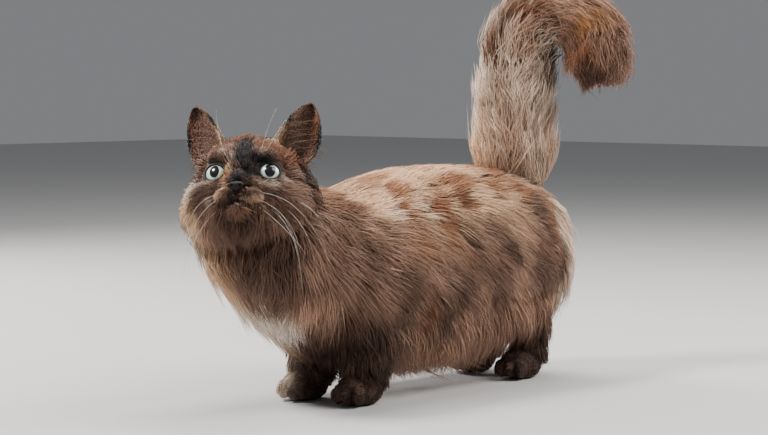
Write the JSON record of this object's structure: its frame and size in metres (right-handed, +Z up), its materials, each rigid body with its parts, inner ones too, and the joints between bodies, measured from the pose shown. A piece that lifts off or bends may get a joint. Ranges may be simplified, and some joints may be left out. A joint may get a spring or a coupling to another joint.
{
  "type": "munchkin cat",
  "caption": "Long-haired munchkin cat, a still life-size model that stands on short legs with its head turned and lifted, and its plumed tail raised and folded over.",
  "frame": {"origin": "middle of the model's bounding box, on the floor that its soles stand on", "axes": "the cat faces -Y, its left side is +X, +Z is up"},
  "size_m": [0.1658, 0.4724, 0.3735],
  "materials": {
    "coat_seal": "short dark brown fur",
    "coat_fawn": "long brown and tan fur",
    "coat_cream": "long cream fur with brown streaks",
    "nose_leather": "moist black skin",
    "eye_iris": "glossy pale green"
  },
  "bodies": {
    "root": {"head": "coat_seal", "ear_left": "coat_seal", "ear_right": "coat_seal", "nose": "nose_leather", "eye_left": "eye_iris", "eye_right": "eye_iris", "neck": "coat_fawn", "torso": "coat_fawn", "tail_base": "coat_cream", "tail_bend": "coat_cream", "tail_tip": "coat_fawn", "foreleg_left": "coat_seal", "foreleg_right": "coat_seal", "forepaw_left": "coat_seal", "forepaw_right": "coat_seal", "hindleg_left": "coat_seal", "hindleg_right": "coat_seal", "hindpaw_left": "coat_seal", "hindpaw_right": "coat_seal"}
  },
  "joints": []
}
